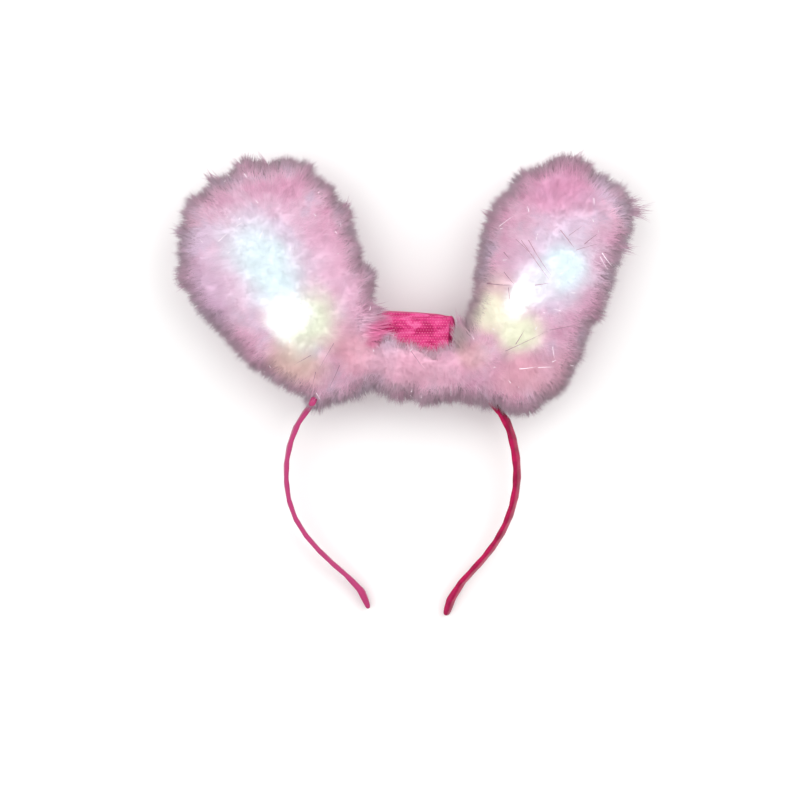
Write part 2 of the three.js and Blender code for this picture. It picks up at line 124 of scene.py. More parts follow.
# How far in from the outline the painted rim shade reaches, which also sets where the rim tufts grow
RIM_WIDTH = 6 * MM
NAP = {"length": 7.5, "spread": (0.5, 1.2), "width": 0.4, "segments": 1, "bend": 0, "comb": 0.75, "stand": 0.6,
       "stray": 0.34, "head_stray": 0.34, "pull": 0.2, "clumps": 7, "mottle": 0.05, "tries": 3}
TUFTS = {"length": 8.0, "spread": (0.4, 1.2), "width": 0.3, "segments": 1, "bend": 0, "comb": 0.8, "stand": 0.6,
         "stray": 0.4, "head_stray": 0.6, "pull": 0.68, "clumps": 4.5, "mottle": 0.06, "tries": 8}
NAP_COUNT = 40000
TUFT_COUNT = 36000

# Bare quills and tinsel threads that lie on the down, in plan, millimetres
QUILLS = [
    ((84.7, 86.5), (93.6, 75.3)), ((94.2, 75.3), (107.6, 78.6)), ((98.7, 79.7), (106.5, 85.3)),
    ((90.3, 83.1), (97.6, 87.6)), ((65.1, 80.3), (81.9, 56.8)), ((67.3, 79.7), (82.4, 59.6)),
    ((60.6, 81.4), (71.2, 69.7)), ((56.1, 73.0), (60.0, 68.5)), ((56.1, 62.9), (61.7, 55.1)),
    ((49.4, 55.7), (61.7, 55.1)), ((70.7, 54.5), (80.8, 56.8)), ((57.8, 54.0), (60.6, 45.6)),
    ((55.0, 20.4), (79.6, 31.0)), ((79.6, 31.0), (95.3, 35.5)), ((61.2, 24.9), (65.6, 31.0)),
    ((72.4, 0.2), (88.6, 4.7)), ((-39.6, 23.2), (-47.5, 10.3)), ((-53.1, 16.5), (-62.6, 10.9)),
    ((-38.0, 12.5), (-43.0, -0.3)), ((-48.6, 9.7), (-51.4, 2.5)), ((2.9, 16.5), (10.2, 9.7)),
]
TINSEL = [
    ((103.7, 103.8), (103.2, 98.2)), ((55.0, 88.1), (61.2, 93.2)), ((64.0, 9.7), (71.8, 10.9)),
    ((71.8, 10.3), (81.9, 10.9)), ((80.2, 21.5), (81.9, 15.9)), ((107.6, 74.7), (111.0, 65.7)),
    ((111.0, 69.1), (113.8, 61.3)), ((105.4, 71.3), (108.8, 63.5)), ((-88.4, 116.1), (-87.2, 112.8)),
    ((-83.9, 126.2), (-80.5, 122.9)), ((-102.9, 79.7), (-96.8, 85.3)), ((-94.0, 86.5), (-91.2, 89.3)),
    ((-49.2, -1.5), (-46.9, -5.4)), ((-50.3, -4.8), (-48.6, -8.7)), ((23.6, -1.5), (27.6, 4.1)), ((-19.5, 31.0), (-16.1, 29.3)), ((37.1, -9.3), (40.4, -11.5)),
    ((-93.4, 89.8), (-92.3, 92.1)), ((-80.5, 81.4), (-79.4, 85.9)),
]
TINSEL_STRAYS = 60
# Longer wisps past the rim and over the pouch's ends: from and to in plan, height, all in millimetres, the
# number of strands, and how much of the rim's painted mauve shade they have
WISPS = [
    ((118, 98), (135, 97), 30, 130, 0.9),
    ((119, 101), (131, 104), 30, 80, 0.9),
    ((114, 80), (125, 77), 30, 70, 0.9),
    ((-104, 111), (-113, 119), 30, 90, 0.9),
    ((-119, 84), (-129, 87), 30, 80, 0.9),
    ((-118, 60), (-127, 57), 30, 50, 0.9),
    ((-78, 121), (-81, 130), 30, 50, 0.9),
    ((-30, 104), (-26, 110), 30, 50, 0.9),
    ((94, 124), (99, 131), 30, 60, 0.9),
    ((52, 92), (45, 97), 30, 50, 0.9),
    ((8, -9), (5, -16), 30, 50, 0.9),
    ((34, -12), (36, -19), 30, 50, 0.9),
    ((-22, 28), (-6, 29), 46, 160, 0.1),
    ((-22, 33), (-6, 34), 46, 180, 0.15),
    ((-22, 38), (-7, 39), 45, 180, 0.6),
    ((-21, 42), (-9, 42), 40, 140, 0.9),
    ((32, 22), (27, 30), 44, 150, 0.2),
    ((34, 22), (29, 33), 42, 180, 0.3),
    ((36, 25), (30, 37), 38, 180, 0.5),
]
LIE_HEIGHT = 5 * MM
KNOT_PLACE = (-50.8 * MM, -8.2 * MM, 42 * MM)
KNOT_LIFT = 5 * MM
KNOT_SIZE = (2.0 * MM, 2.8 * MM, 1.5 * MM)
POUCH_SLACK = 0.16
POUCH_PUFF = 2.6 * MM
CLOTH_FRAMES = 20
NET_PITCH = 1.5 * MM
SEQUIN_RADIUS = 0.22 * MM


def linear(colour):
    """An sRGB hex value as the linear colour that a socket takes."""
    parts = [int(colour[i:i + 2], 16) / 255 for i in (1, 3, 5)]
    return [c / 12.92 if c <= 0.04045 else ((c + 0.055) / 1.055) ** 2.4 for c in parts] + [1.0]


def feed(tree, socket, value):
    """Link another node's output to a socket, or set the socket to a value."""
    if isinstance(value, bpy.types.NodeSocket):
        tree.links.new(value, socket)
    else:
        socket.default_value = value


def add_node(tree, kind, settings=None, inputs=None):
    """Add a node, set its settings and feed its inputs."""
    node = tree.nodes.new(kind)
    for name, value in (settings or {}).items():
        setattr(node, name, value)
    for name, value in (inputs or {}).items():
        feed(tree, node.inputs[name], value)
    return node


def new_material(name, **values):
    """A material with its node tree and its surface shader, set to these values."""
    material = bpy.data.materials.new(name)
    material.use_nodes = True
    tree = material.node_tree
    shader = tree.nodes["Principled BSDF"]
    for socket, value in values.items():
        shader.inputs[socket.replace("_", " ")].default_value = value
    return material, tree, shader


def mix_colour(tree, amount, first, second):
    return add_node(tree, "ShaderNodeMix", {"data_type": "RGBA"}, {
        "Factor": amount, "A": first, "B": second}).outputs["Result"]


def blend_of(tree, amount, stops):
    """A colour ramp over an amount, from its stops."""
    ramp = add_node(tree, "ShaderNodeValToRGB", None, {"Fac": amount})
    elements = ramp.color_ramp.elements
    elements[0].position, elements[0].color = stops[0][0], linear(stops[0][1])
    elements[1].position, elements[1].color = stops[-1][0], linear(stops[-1][1])
    for place, colour in stops[1:-1]:
        elements.new(place).color = linear(colour)
    return ramp.outputs["Color"]


def select_only(piece):
    bpy.ops.object.select_all(action="DESELECT")
    piece.select_set(True)
    bpy.context.view_layer.objects.active = piece


def patch_share(tree, position, patch):
    """How strongly a patch shows at a position: most in its middle, nothing past its radii."""
    across, up = (v * MM for v in patch["at"])
    height = 0.03
    if patch["lamp"]:
        low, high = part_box(patch["lamp"])
        across += (low.x + high.x) / 2
        up += (low.y + high.y) / 2
        height = (low.z + high.z) / 2
    place = add_node(tree, "ShaderNodeMapping", {"vector_type": "TEXTURE"}, {
        "Vector": position,
        "Location": (across, up, height + PATCH_LIFT),
        "Rotation": (0, 0, math.radians(patch["turn"])),
        "Scale": (patch["radii"][0] * MM, patch["radii"][1] * MM, PATCH_DEPTH),
    })
    away = add_node(tree, "ShaderNodeVectorMath", {"operation": "LENGTH"}, {0: place.outputs["Vector"]})
    falloff = add_node(tree, "ShaderNodeMapRange", {"interpolation_type": "SMOOTHERSTEP"}, {
        "Value": away.outputs["Value"], "From Min": 0.15, "From Max": 1.0, "To Min": patch["most"], "To Max": 0.0,
    })
    return falloff.outputs["Result"]


def marabou_down():
    """Dyed marabou: matt, finely fibrous, pink with rose and lilac drifts; mauve grey at the rim as painted shade, and
    painted light: a glow from the lamps inside and a faint glow all over.
    """
    material, tree, shader = new_material("dyed_marabou_with_painted_shade_and_light", Roughness=0.9, Specular_IOR_Level=0.2,
                                          Sheen_Weight=0.25, Sheen_Roughness=0.6)
    position = add_node(tree, "ShaderNodeTexCoord").outputs["Object"]
    drift = add_node(tree, "ShaderNodeTexNoise", None, {"Vector": position, "Scale": 42, "Detail": 3, "Roughness": 0.6})
    colour = blend_of(tree, drift.outputs["Fac"], ((0.38, ROSE_DOWN), (0.5, PINK_DOWN), (0.62, LILAC_DOWN)))
    shade = add_node(tree, "ShaderNodeAttribute", {"attribute_name": "shade"}).outputs["Fac"]
    colour = add_node(tree, "ShaderNodeHueSaturation", None, {"Color": colour, "Value": shade}).outputs["Color"]
    ripple = add_node(tree, "ShaderNodeTexNoise", None, {"Vector": position, "Scale": 60, "Detail": 2})
    centred = add_node(tree, "ShaderNodeVectorMath", {"operation": "SUBTRACT"}, {
        0: ripple.outputs["Color"], 1: (0.5, 0.5, 0.5)}).outputs["Vector"]
    wander = add_node(tree, "ShaderNodeVectorMath", {"operation": "MULTIPLY_ADD"}, {
        0: centred, 1: (PATCH_WANDER * 2,) * 3, 2: position}).outputs["Vector"]
    # Painted light: the down glows faintly all over, and more in the patches that give light
    light = DOWN_PAINTED_GLOW
    for patch in PATCHES:
        amount = patch_share(tree, wander, patch)
        colour = mix_colour(tree, amount, colour, linear(patch["colour"]))
        if patch["light"]:
            lit = add_node(tree, "ShaderNodeMath", {"operation": "MULTIPLY_ADD"}, {0: amount, 1: patch["light"], 2: light})
            light = lit.outputs[0]
    # Painted shade: mauve grey towards the rim
    rim = add_node(tree, "ShaderNodeAttribute", {"attribute_name": "rim"}).outputs["Fac"]
    colour = mix_colour(tree, rim, colour, linear(RIM_SHADE_MAUVE))
    feed(tree, shader.inputs["Base Color"], colour)
    feed(tree, shader.inputs["Emission Color"], colour)
    feed(tree, shader.inputs["Emission Strength"], light)
    return material


def satin_ribbon():
    """Woven satin ribbon: magenta with a soft broad shine, darker in random patches, and paler pink towards the left
    arm as painted light.
    """
    material, tree, shader = new_material("satin_ribbon", Roughness=0.4, Specular_IOR_Level=0.15, Anisotropic=0.4,
                                          Sheen_Weight=0.15, Sheen_Roughness=0.3)
    position = add_node(tree, "ShaderNodeTexCoord").outputs["Object"]
    wear = add_node(tree, "ShaderNodeTexNoise", None, {"Vector": position, "Scale": 180, "Detail": 3})
    colour = blend_of(tree, wear.outputs["Fac"], ((0.35, RIBBON_DEEP), (0.6, RIBBON_MAGENTA)))
    # Painted light: the ribbon turns paler pink towards the left arm, standing in for that arm being more brightly lit
    side = add_node(tree, "ShaderNodeSeparateXYZ", None, {"Vector": position}).outputs["X"]
    falloff = add_node(tree, "ShaderNodeMapRange", None, {
        "Value": side, "From Min": -30 * MM, "From Max": 30 * MM, "To Min": 0.8, "To Max": 0.0}).outputs["Result"]
    colour = mix_colour(tree, falloff, colour, linear(RIBBON_LIT_PINK))
    feed(tree, shader.inputs["Base Color"], colour)
    threads = add_node(tree, "ShaderNodeTexNoise", None, {"Vector": position, "Scale": 1400, "Detail": 1})
    bump = add_node(tree, "ShaderNodeBump", None, {"Height": threads.outputs["Fac"], "Distance": 0.1 * MM, "Strength": 0.5})
    feed(tree, shader.inputs["Normal"], bump.outputs["Normal"])
    return material


def glitter_satin():
    """Thin pink satin over a case, with painted shade for its folds and painted highlights for its lumps in a streaky
    noise, and a fine glitter grain.
    """
    material, tree, shader = new_material("glitter_satin", Roughness=0.5, Specular_IOR_Level=0.25)
    position = add_node(tree, "ShaderNodeTexCoord").outputs["Object"]
    stretched = add_node(tree, "ShaderNodeMapping", None, {"Vector": position, "Scale": (0.6, 1, 1)}).outputs["Vector"]
    # Painted shade and painted highlight: a streaky noise darkens the satin as if in folds and lightens it as if on
    # lumps
    folds = add_node(tree, "ShaderNodeTexNoise", None, {"Vector": stretched, "Scale": 190, "Detail": 3, "Distortion": 0.8})
    colour = blend_of(tree, folds.outputs["Fac"], ((0.38, POUCH_FOLD_SHADE), (0.52, POUCH_PINK), (0.66, POUCH_LUMP_HIGHLIGHT)))
    feed(tree, shader.inputs["Base Color"], colour)
    grain = add_node(tree, "ShaderNodeTexVoronoi", None, {"Vector": position, "Scale": 1600})
    bump = add_node(tree, "ShaderNodeBump", None, {"Height": grain.outputs["Distance"], "Distance": 0.15 * MM, "Strength": 0.6})
    feed(tree, shader.inputs["Normal"], bump.outputs["Normal"])
    return material


def plain_gloss(name, colour, roughness, glow=0.0):
    return new_material(name, Base_Color=linear(colour), Roughness=roughness, Emission_Color=linear(colour),
                        Emission_Strength=glow)[0]


def shape(piece, kind, **settings):
    """Add a modifier with these settings and apply it."""
    modifier = piece.modifiers.new(kind.lower(), kind)
    for name, value in settings.items():
        setattr(modifier, name, value)
    bpy.ops.object.modifier_apply(modifier=modifier.name)


def clouds(name, size):
    texture = bpy.data.textures.new(name, "CLOUDS")
    texture.noise_scale = size
    return texture


def pouch_window():
    """The block that the closed down is cut back by, so that the pouch shows at the top of the bridge."""
    low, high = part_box("battery_pouch")
    bpy.ops.object.select_all(action="DESELECT")
    bpy.ops.mesh.primitive_cube_add(size=1, location=(low.x + 28 * MM, low.y + 29 * MM, 40 * MM),
                                    scale=(36 * MM, 30 * MM, 60 * MM), rotation=(0, 0, math.radians(-16)))
    block = bpy.context.object
    select_only(block)
    bpy.ops.object.transform_apply(location=True, rotation=True, scale=True)
    return block


def soft_form():
    """The soft underlayer of all the down: its CAD forms joined, their nooks closed, smoothed and drawn in."""
    bpy.ops.object.select_all(action="DESELECT")
    for node in DOWN_NODES:
        part = bpy.data.objects.new("underdown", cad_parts[node].data.copy())
        bpy.context.scene.collection.objects.link(part)
        part.select_set(True)
        bpy.context.view_layer.objects.active = part
    bpy.ops.object.join()
    piece = bpy.context.object
    piece.name = "marabou_underdown"
    piece.data.materials.clear()
    bpy.ops.object.mode_set(mode="EDIT")
    bpy.ops.mesh.select_all(action="SELECT")
    bpy.ops.mesh.remove_doubles(threshold=0.00001)
    bpy.ops.object.mode_set(mode="OBJECT")
    shape(piece, "REMESH", mode="VOXEL", voxel_size=3 * MM)
    shape(piece, "DISPLACE", mid_level=0, strength=NOOK_CLOSING)
    shape(piece, "REMESH", mode="VOXEL", voxel_size=3 * MM)
    window = pouch_window()
    select_only(piece)
    shape(piece, "BOOLEAN", object=window, operation="DIFFERENCE", solver="FAST")
    bpy.data.objects.remove(window)
    shape(piece, "REMESH", mode="VOXEL", voxel_size=3 * MM)
    shape(piece, "SMOOTH", factor=0.5, iterations=24)
    shape(piece, "DISPLACE", mid_level=0, strength=-NOOK_CLOSING - DOWN_INSET)
    shape(piece, "REMESH", mode="VOXEL", voxel_size=2.5 * MM)
    shape(piece, "SMOOTH", factor=0.5, iterations=14)
    sides = piece.vertex_groups.new(name="sides")
    for vertex in piece.data.vertices:
        sides.add([vertex.index], 1 - 0.75 * abs(vertex.normal.z), "REPLACE")
    shape(piece, "DISPLACE", texture=clouds("down_lumps", 9 * MM), mid_level=0.5, strength=LUMP_DEPTH,
          vertex_group=sides.name)
    settle(piece)
    bpy.ops.object.shade_smooth()
    return piece


def settle(piece):
    """Stretch the lower half of the down to the floor that it lies on."""
    places = np.array([v.co for v in piece.data.vertices])
    depth = (places[:, 2].max() + places[:, 2].min()) / 2
    under = depth - places[:, 2]
    stretch = (depth - FLOOR_GAP) / under.max()
    places[:, 2] = np.where(under > 0, depth - under * stretch, places[:, 2])
    piece.data.vertices.foreach_set("co", places.ravel())
    piece.data.update()


def tree_of(piece):
    """A piece's surface as a search tree for rays."""
    mesh = piece.data
    return BVHTree.FromPolygons([v.co for v in mesh.vertices], [p.vertices for p in mesh.polygons])


def unit(vectors):
    return vectors / np.maximum(np.linalg.norm(vectors, axis=-1, keepdims=True), 1e-9)


def sample(piece, count, random):
    """Random points on a piece with their normals, even over its area."""
    mesh = piece.data
    mesh.calc_loop_triangles()
    corners = np.array([t.vertices for t in mesh.loop_triangles])
    places = np.array([v.co for v in mesh.vertices])[corners]
    normals = np.array([v.normal for v in mesh.vertices])[corners]
    area = np.linalg.norm(np.cross(places[:, 1] - places[:, 0], places[:, 2] - places[:, 0]), axis=1)
    chosen = random.choice(len(area), count, p=area / area.sum())
    weights = random.dirichlet((1, 1, 1), count)[:, :, None]
    return (places[chosen] * weights).sum(axis=1), unit((normals[chosen] * weights).sum(axis=1))


def spine_of(node):
    """The two plan points between which the spine of a piece of down runs."""
    if node == "bridge":
        low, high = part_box(node)
        middle = (low.y + high.y) / 2
        return np.array((low.x, middle)), np.array((high.x, middle))
    places = np.array([v.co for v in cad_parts[node].data.vertices])[:, :2]
    middle = places.mean(axis=0)
    way = np.linalg.eigh((places - middle).T @ (places - middle))[1][:, 1]
    way = way if way[1] > 0 else -way
    reach = (places - middle) @ way
    start, end = (reach.min() + share * np.ptp(reach) for share in SPINE_SHARES)
    return middle + way * start, middle + way * end


SPINES = [spine_of(node) for node in DOWN_NODES]


def combing(roots):
    """The way the down lies: away from the spines, the nearest most, and calmer close to one."""
    total = np.zeros_like(roots)
    weight = 0
    for start, end in SPINES:
        way = end - start
        share = np.clip((roots[:, :2] - start) @ way / (way @ way), 0, 1)
        offset = roots[:, :2] - start - share[:, None] * way
        away = np.linalg.norm(offset, axis=1)[:, None]
        near = 1 / np.maximum(away, 5 * MM) ** 3
        total[:, :2] += offset / np.maximum(away, SPINE_CALM) * near
        weight = weight + near
    return total / weight


def plan_outline(pieces):
    """Points of the outline that pieces make together from above, as a search tree."""
    corners = np.array([v.co for piece in pieces for v in piece.data.vertices])
    low = corners.min(axis=0) - 2 * OUTLINE_CELL
    high = corners.max(axis=0) + 3 * OUTLINE_CELL
    across = np.arange(low[0], high[0], OUTLINE_CELL)
    up = np.arange(low[1], high[1], OUTLINE_CELL)
    surfaces = [tree_of(piece) for piece in pieces]
    filled = np.array([[any(s.ray_cast((x, y, high[2]), (0, 0, -1))[0] is not None for s in surfaces)
                        for y in up] for x in across])
    inner = filled[1:-1, 1:-1] & filled[:-2, 1:-1] & filled[2:, 1:-1] & filled[1:-1, :-2] & filled[1:-1, 2:]
    filled[1:-1, 1:-1] &= ~inner
    cells = np.argwhere(filled)
    tree = KDTree(len(cells))
    for number, (i, j) in enumerate(cells):
        tree.insert((across[i], up[j], 0), number)
    tree.balance()
    return tree


def rim_share(places, outline):
    """1 at the outline from above, falling to 0 a little way in and close to the pouch. It sets the painted rim shade,
    and where the rim tufts grow.
    """
    away = np.array([outline.find((x, y, 0))[2] for x, y, _ in places])
    share = np.clip(1 - away / RIM_WIDTH, 0, 1)
    low, high = (np.array(corner)[:2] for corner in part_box("battery_pouch"))
    plan = np.array(places)[:, :2]
    from_pouch = np.linalg.norm(np.maximum(np.maximum(low - plan, plan - high), 0), axis=1)
    return share * share * (3 - 2 * share) * np.clip(from_pouch / RIM_WIDTH - 0.3, 0, 1)


def strands(name, roots, directions, lengths, widths, bends, segments, facts, normals):
    """Closed three-sided strands that taper to a point, as one mesh, shaded as the form under them."""
    side = unit(np.cross(directions, (0.3, 0.2, 1.0)))
    other = np.cross(directions, side)
    levels = []
    shares = []
    for step in range(segments):
        share = step / segments
        middle = roots + directions * (lengths * share)[:, None] + bends * (lengths * share ** 2)[:, None]
        radius = (widths / 2 * (1 - share) ** 0.5)[:, None]
        for corner in range(3):
            angle = 2 * math.pi * corner / 3
            levels.append(middle + radius * (math.cos(angle) * side + math.sin(angle) * other))
            shares.append(share)
    levels.append(roots + (directions + bends) * lengths[:, None])
    shares.append(1.0)
    places = np.stack(levels, axis=1)
    places[:, :, 2] = np.maximum(places[:, :, 2], 0.3 * MM)
    each = len(shares)
    wall = [(3 * i + k, 3 * i + (k + 1) % 3, 3 * i + 3 + (k + 1) % 3, 3 * i + 3 + k)
            for i in range(segments - 1) for k in range(3)]
    last = 3 * (segments - 1)
    cap = [(2, 1, 0)] + [(last + k, last + (k + 1) % 3, each - 1) for k in range(3)]
    first = np.arange(len(roots)) * each
    faces = [row for face in wall + cap for row in (np.array(face) + first[:, None]).tolist()]
    mesh = bpy.data.meshes.new(name)
    mesh.from_pydata(places.reshape(-1, 3).tolist(), [], faces)
    for fact, values in facts.items():
        spread = np.repeat(values[:, None], each, axis=1)
        # Painted rim shade: stronger towards each strand's tip
        if fact == "rim":
            spread = spread * (0.35 + 0.65 * np.array(shares))
        mesh.attributes.new(fact, "FLOAT", "POINT").data.foreach_set("value", spread.astype(np.float32).ravel())
    mesh.shade_smooth()
    mesh.normals_split_custom_set_from_vertices(np.repeat(normals, each, axis=0).tolist())
    piece = bpy.data.objects.new(name, mesh)
    bpy.context.scene.collection.objects.link(piece)
    return piece


def grow_down(form, name, count, keeps, kind, outline, seed):
    """Strands of one kind on the part of a form that keeps(roots, normals, rim) picks, drawn together in clumps."""
    random = np.random.default_rng(seed)
    roots, normals = sample(form, count * kind["tries"], random)
    rim = rim_share(roots, outline)
    chosen = np.flatnonzero(keeps(roots, normals, rim))[:count]
    roots, normals, rim = roots[chosen], normals[chosen], rim[chosen]
    number = len(roots)
    area = sum(p.area for p in form.data.polygons)
    heads, head_normals = sample(form, int(area / (kind["clumps"] * MM) ** 2), random)
    tree = KDTree(len(heads))
    for i, head in enumerate(heads):
        tree.insert(head, i)
    tree.balance()
    nearest = np.array([tree.find(root)[1] for root in roots])
    reach = unit(combing(heads) * kind["comb"] + head_normals * kind["stand"]
                 + random.normal(0, kind["head_stray"], heads.shape)) * kind["length"] * MM
    reach *= random.uniform(0.4, 1.6, len(heads))[:, None]
    lengths = kind["length"] * MM * random.uniform(*kind["spread"], number)
    own = unit(combing(roots) * kind["comb"] + normals * kind["stand"] + random.normal(0, kind["stray"], roots.shape))
    ends = (roots + own * lengths[:, None]) * (1 - kind["pull"]) + (heads + reach)[nearest] * kind["pull"]
    directions = unit(ends - roots)
    outward = (directions * normals).sum(axis=1)
    directions = unit(directions + normals * np.maximum(0.2 - outward, 0)[:, None])
    bends = random.normal(0, kind["bend"], roots.shape)
    widths = kind["width"] * MM * random.uniform(0.6, 1.2, number)
    shade = random.normal(1.0, kind["mottle"], len(heads))[nearest] * random.normal(1.0, 0.03, number)
    # Each strand carries the painted rim shade of its root
    facts = {"rim": rim * random.uniform(0.75, 1.0, number), "shade": shade}
    return strands(name, roots - normals * MM, directions, lengths, widths, bends, kind["segments"], facts, normals)


def dress_down(form):
    """The marabou: its underlayer, the nap of its front and back on each side, and the tufts at its rim."""
    outline = plan_outline([form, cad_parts["battery_pouch"]])
    rim = rim_share([v.co for v in form.data.vertices], outline)
    # The underlayer gets the painted rim shade, and is darkened all over as painted shade
    for fact, values in {"rim": rim, "shade": np.full(len(rim), UNDERLAYER_PAINTED_SHADE)}.items():
        form.data.attributes.new(fact, "FLOAT", "POINT").data.foreach_set("value", values.astype(np.float32))
    middle = 5 * MM
    pieces = [
        form,
        grow_down(form, "front_nap_left", NAP_COUNT, lambda p, n, r: (n[:, 2] > 0.1) & (p[:, 0] < middle), NAP, outline, 11),
        grow_down(form, "front_nap_right", NAP_COUNT, lambda p, n, r: (n[:, 2] > 0.1) & (p[:, 0] >= middle), NAP, outline, 12),
        grow_down(form, "back_nap_left", NAP_COUNT, lambda p, n, r: (n[:, 2] <= 0.1) & (p[:, 0] < middle), NAP, outline, 13),
        grow_down(form, "back_nap_right", NAP_COUNT, lambda p, n, r: (n[:, 2] <= 0.1) & (p[:, 0] >= middle), NAP, outline, 14),
        grow_down(form, "rim_tufts", TUFT_COUNT, lambda p, n, r: r > 0.25, TUFTS, outline, 15),
    ]
    material = marabou_down()
    pieces.append(stray_wisps(form))
    for piece in pieces:
        piece.data.materials.append(material)
        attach(piece, "root")
    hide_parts(*DOWN_NODES)


def lie_on(surface, random, lines, name, width, material):
    """Slim straws between pairs of plan points, lying on the down."""
    starts, ends, up = [], [], []
    for line in lines:
        points = []
        for x, y in line:
            hit, normal, _, _ = surface.ray_cast((x * MM, y * MM, 0.1), (0, 0, -1))
            if hit is not None:
                points.append((np.array(hit) + np.array(normal) * LIE_HEIGHT, np.array(normal)))
        if len(points) == 2:
            starts.append(points[0][0])
            ends.append(points[1][0])
            up.append(points[0][1])
    starts, ends, up = np.array(starts), np.array(ends), np.array(up)
    lengths = np.linalg.norm(ends - starts, axis=1)
    bends = random.normal(0, 0.05, starts.shape)
    widths = width * MM * random.uniform(0.7, 1.2, len(starts))
    piece = strands(name, starts, unit(ends - starts) - bends, lengths, widths, bends, 3, {}, up)
    piece.data.materials.append(material)
    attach(piece, "root")


def scatter_threads(form):
    """The bare quills and the tinsel threads on the down."""
    random = np.random.default_rng(41)
    surface = tree_of(form)
    lie_on(surface, random, QUILLS, "bare_quills", 0.5, plain_gloss("bare_quill", QUILL_ROSE, 0.5))
    strays = []
    for (x, y, _), _ in zip(*sample(form, TINSEL_STRAYS, random)):
        angle = random.uniform(0, math.pi)
        half = random.uniform(0.3, 1.3)
        across, up = half * math.cos(angle), half * math.sin(angle)
        strays.append(((x / MM - across, y / MM - up), (x / MM + across, y / MM + up)))
    # The tinsel glows faintly: a painted glint
    lie_on(surface, random, TINSEL + strays, "tinsel_threads", 0.4, plain_gloss("white_tinsel", TINSEL_WHITE, 0.15, 0.2))


def stray_wisps(form):
    """Longer wisps where the down stands out most, and where it lies over the pouch's ends."""
    random = np.random.default_rng(61)
    surface = tree_of(form)
    starts, ends, mauve = [], [], []
    for start, end, height, count, rim in WISPS:
        spot = surface.find_nearest((start[0] * MM, start[1] * MM, height * MM))[0]
        for _ in range(count):
            spread = random.normal(0, 1.7 * MM, 3)
            mauve.append(rim)
            starts.append(np.array(spot) + spread)
            reach = np.array((end[0] - start[0], end[1] - start[1], 0)) * MM * random.uniform(0.35, 1.05)
            ends.append(np.array((spot.x, spot.y, spot.z)) + reach + spread * 0.5)
    starts, ends = np.array(starts), np.array(ends)
    lengths = np.linalg.norm(ends - starts, axis=1)
    bends = random.normal(0, 0.15, starts.shape)
    widths = random.uniform(0.35, 0.55, len(starts)) * MM
    # Each wisp takes its row's share of the painted rim shade
    facts = {"rim": np.array(mauve) * random.uniform(0.85, 1.1, len(starts)), "shade": random.normal(1, 0.05, len(starts))}
    up = np.tile((0.0, 0.0, 1.0), (len(starts), 1))
    return strands("rim_wisps", starts, unit(ends - starts), lengths, widths, bends, 3, facts, up)


def wind_band(ribbon):
    """The wound ribbon: the CAD strip with its turns, rounded off."""
    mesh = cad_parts["headband"].data.copy()
    piece = bpy.data.objects.new("ribbon_wound_band", mesh)
    bpy.context.scene.collection.objects.link(piece)
    select_only(piece)
    bpy.ops.object.mode_set(mode="EDIT")
    bpy.ops.mesh.select_all(action="SELECT")
    bpy.ops.mesh.remove_doubles(threshold=0.00001)
    bpy.ops.mesh.tris_convert_to_quads(face_threshold=1.2, shape_threshold=1.2)
    bpy.ops.object.mode_set(mode="OBJECT")
    shape(piece, "SUBSURF", levels=2)
    bpy.ops.object.shade_smooth()
    piece.data.materials.clear()
    piece.data.materials.append(ribbon)
    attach(piece, "root")
    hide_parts("headband")


def tie_knot(form, ribbon):
    """The small puckered knot of ribbon that peeps out of the down where the left arm goes in."""
    spot, normal, _, _ = tree_of(form).find_nearest(Vector(KNOT_PLACE))
    bpy.ops.object.select_all(action="DESELECT")
    bpy.ops.mesh.primitive_ico_sphere_add(subdivisions=4, radius=1, location=spot + normal * KNOT_LIFT,
                                          scale=KNOT_SIZE, rotation=(0, 0, math.radians(-35)))
    piece = bpy.context.object
    piece.name = "ribbon_knot"
    bpy.ops.object.transform_apply(location=True, rotation=True, scale=True)
    shape(piece, "DISPLACE", texture=clouds("knot_puckers", 1.2 * MM), strength=1.2 * MM, mid_level=0.5)
    bpy.ops.object.shade_smooth()
    piece.data.materials.append(ribbon)
    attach(piece, "root")


def puff_up(piece):
    """Simulate the satin: a little air inside and some slack in the cloth, no gravity, moves capped, then applied."""
    rest = np.array([v.co for v in piece.data.vertices])
    cloth = piece.modifiers.new("satin", "CLOTH")
    cloth.settings.use_pressure = True
    cloth.settings.uniform_pressure_force = 4
    cloth.settings.effector_weights.gravity = 0
    cloth.settings.mass = 0.001
    cloth.settings.shrink_min = -POUCH_SLACK
    cloth.settings.quality = 8
    cloth.point_cache.frame_start = 1
    cloth.point_cache.frame_end = CLOTH_FRAMES
    for number in range(1, CLOTH_FRAMES + 1):
        bpy.context.scene.frame_set(number)
    bpy.ops.object.modifier_apply(modifier=cloth.name)
    bpy.context.scene.frame_set(1)
    moves = np.array([v.co for v in piece.data.vertices]) - rest
    far = np.maximum(np.linalg.norm(moves, axis=1, keepdims=True) / POUCH_PUFF, 1)
    piece.data.vertices.foreach_set("co", (rest + moves / far).ravel())


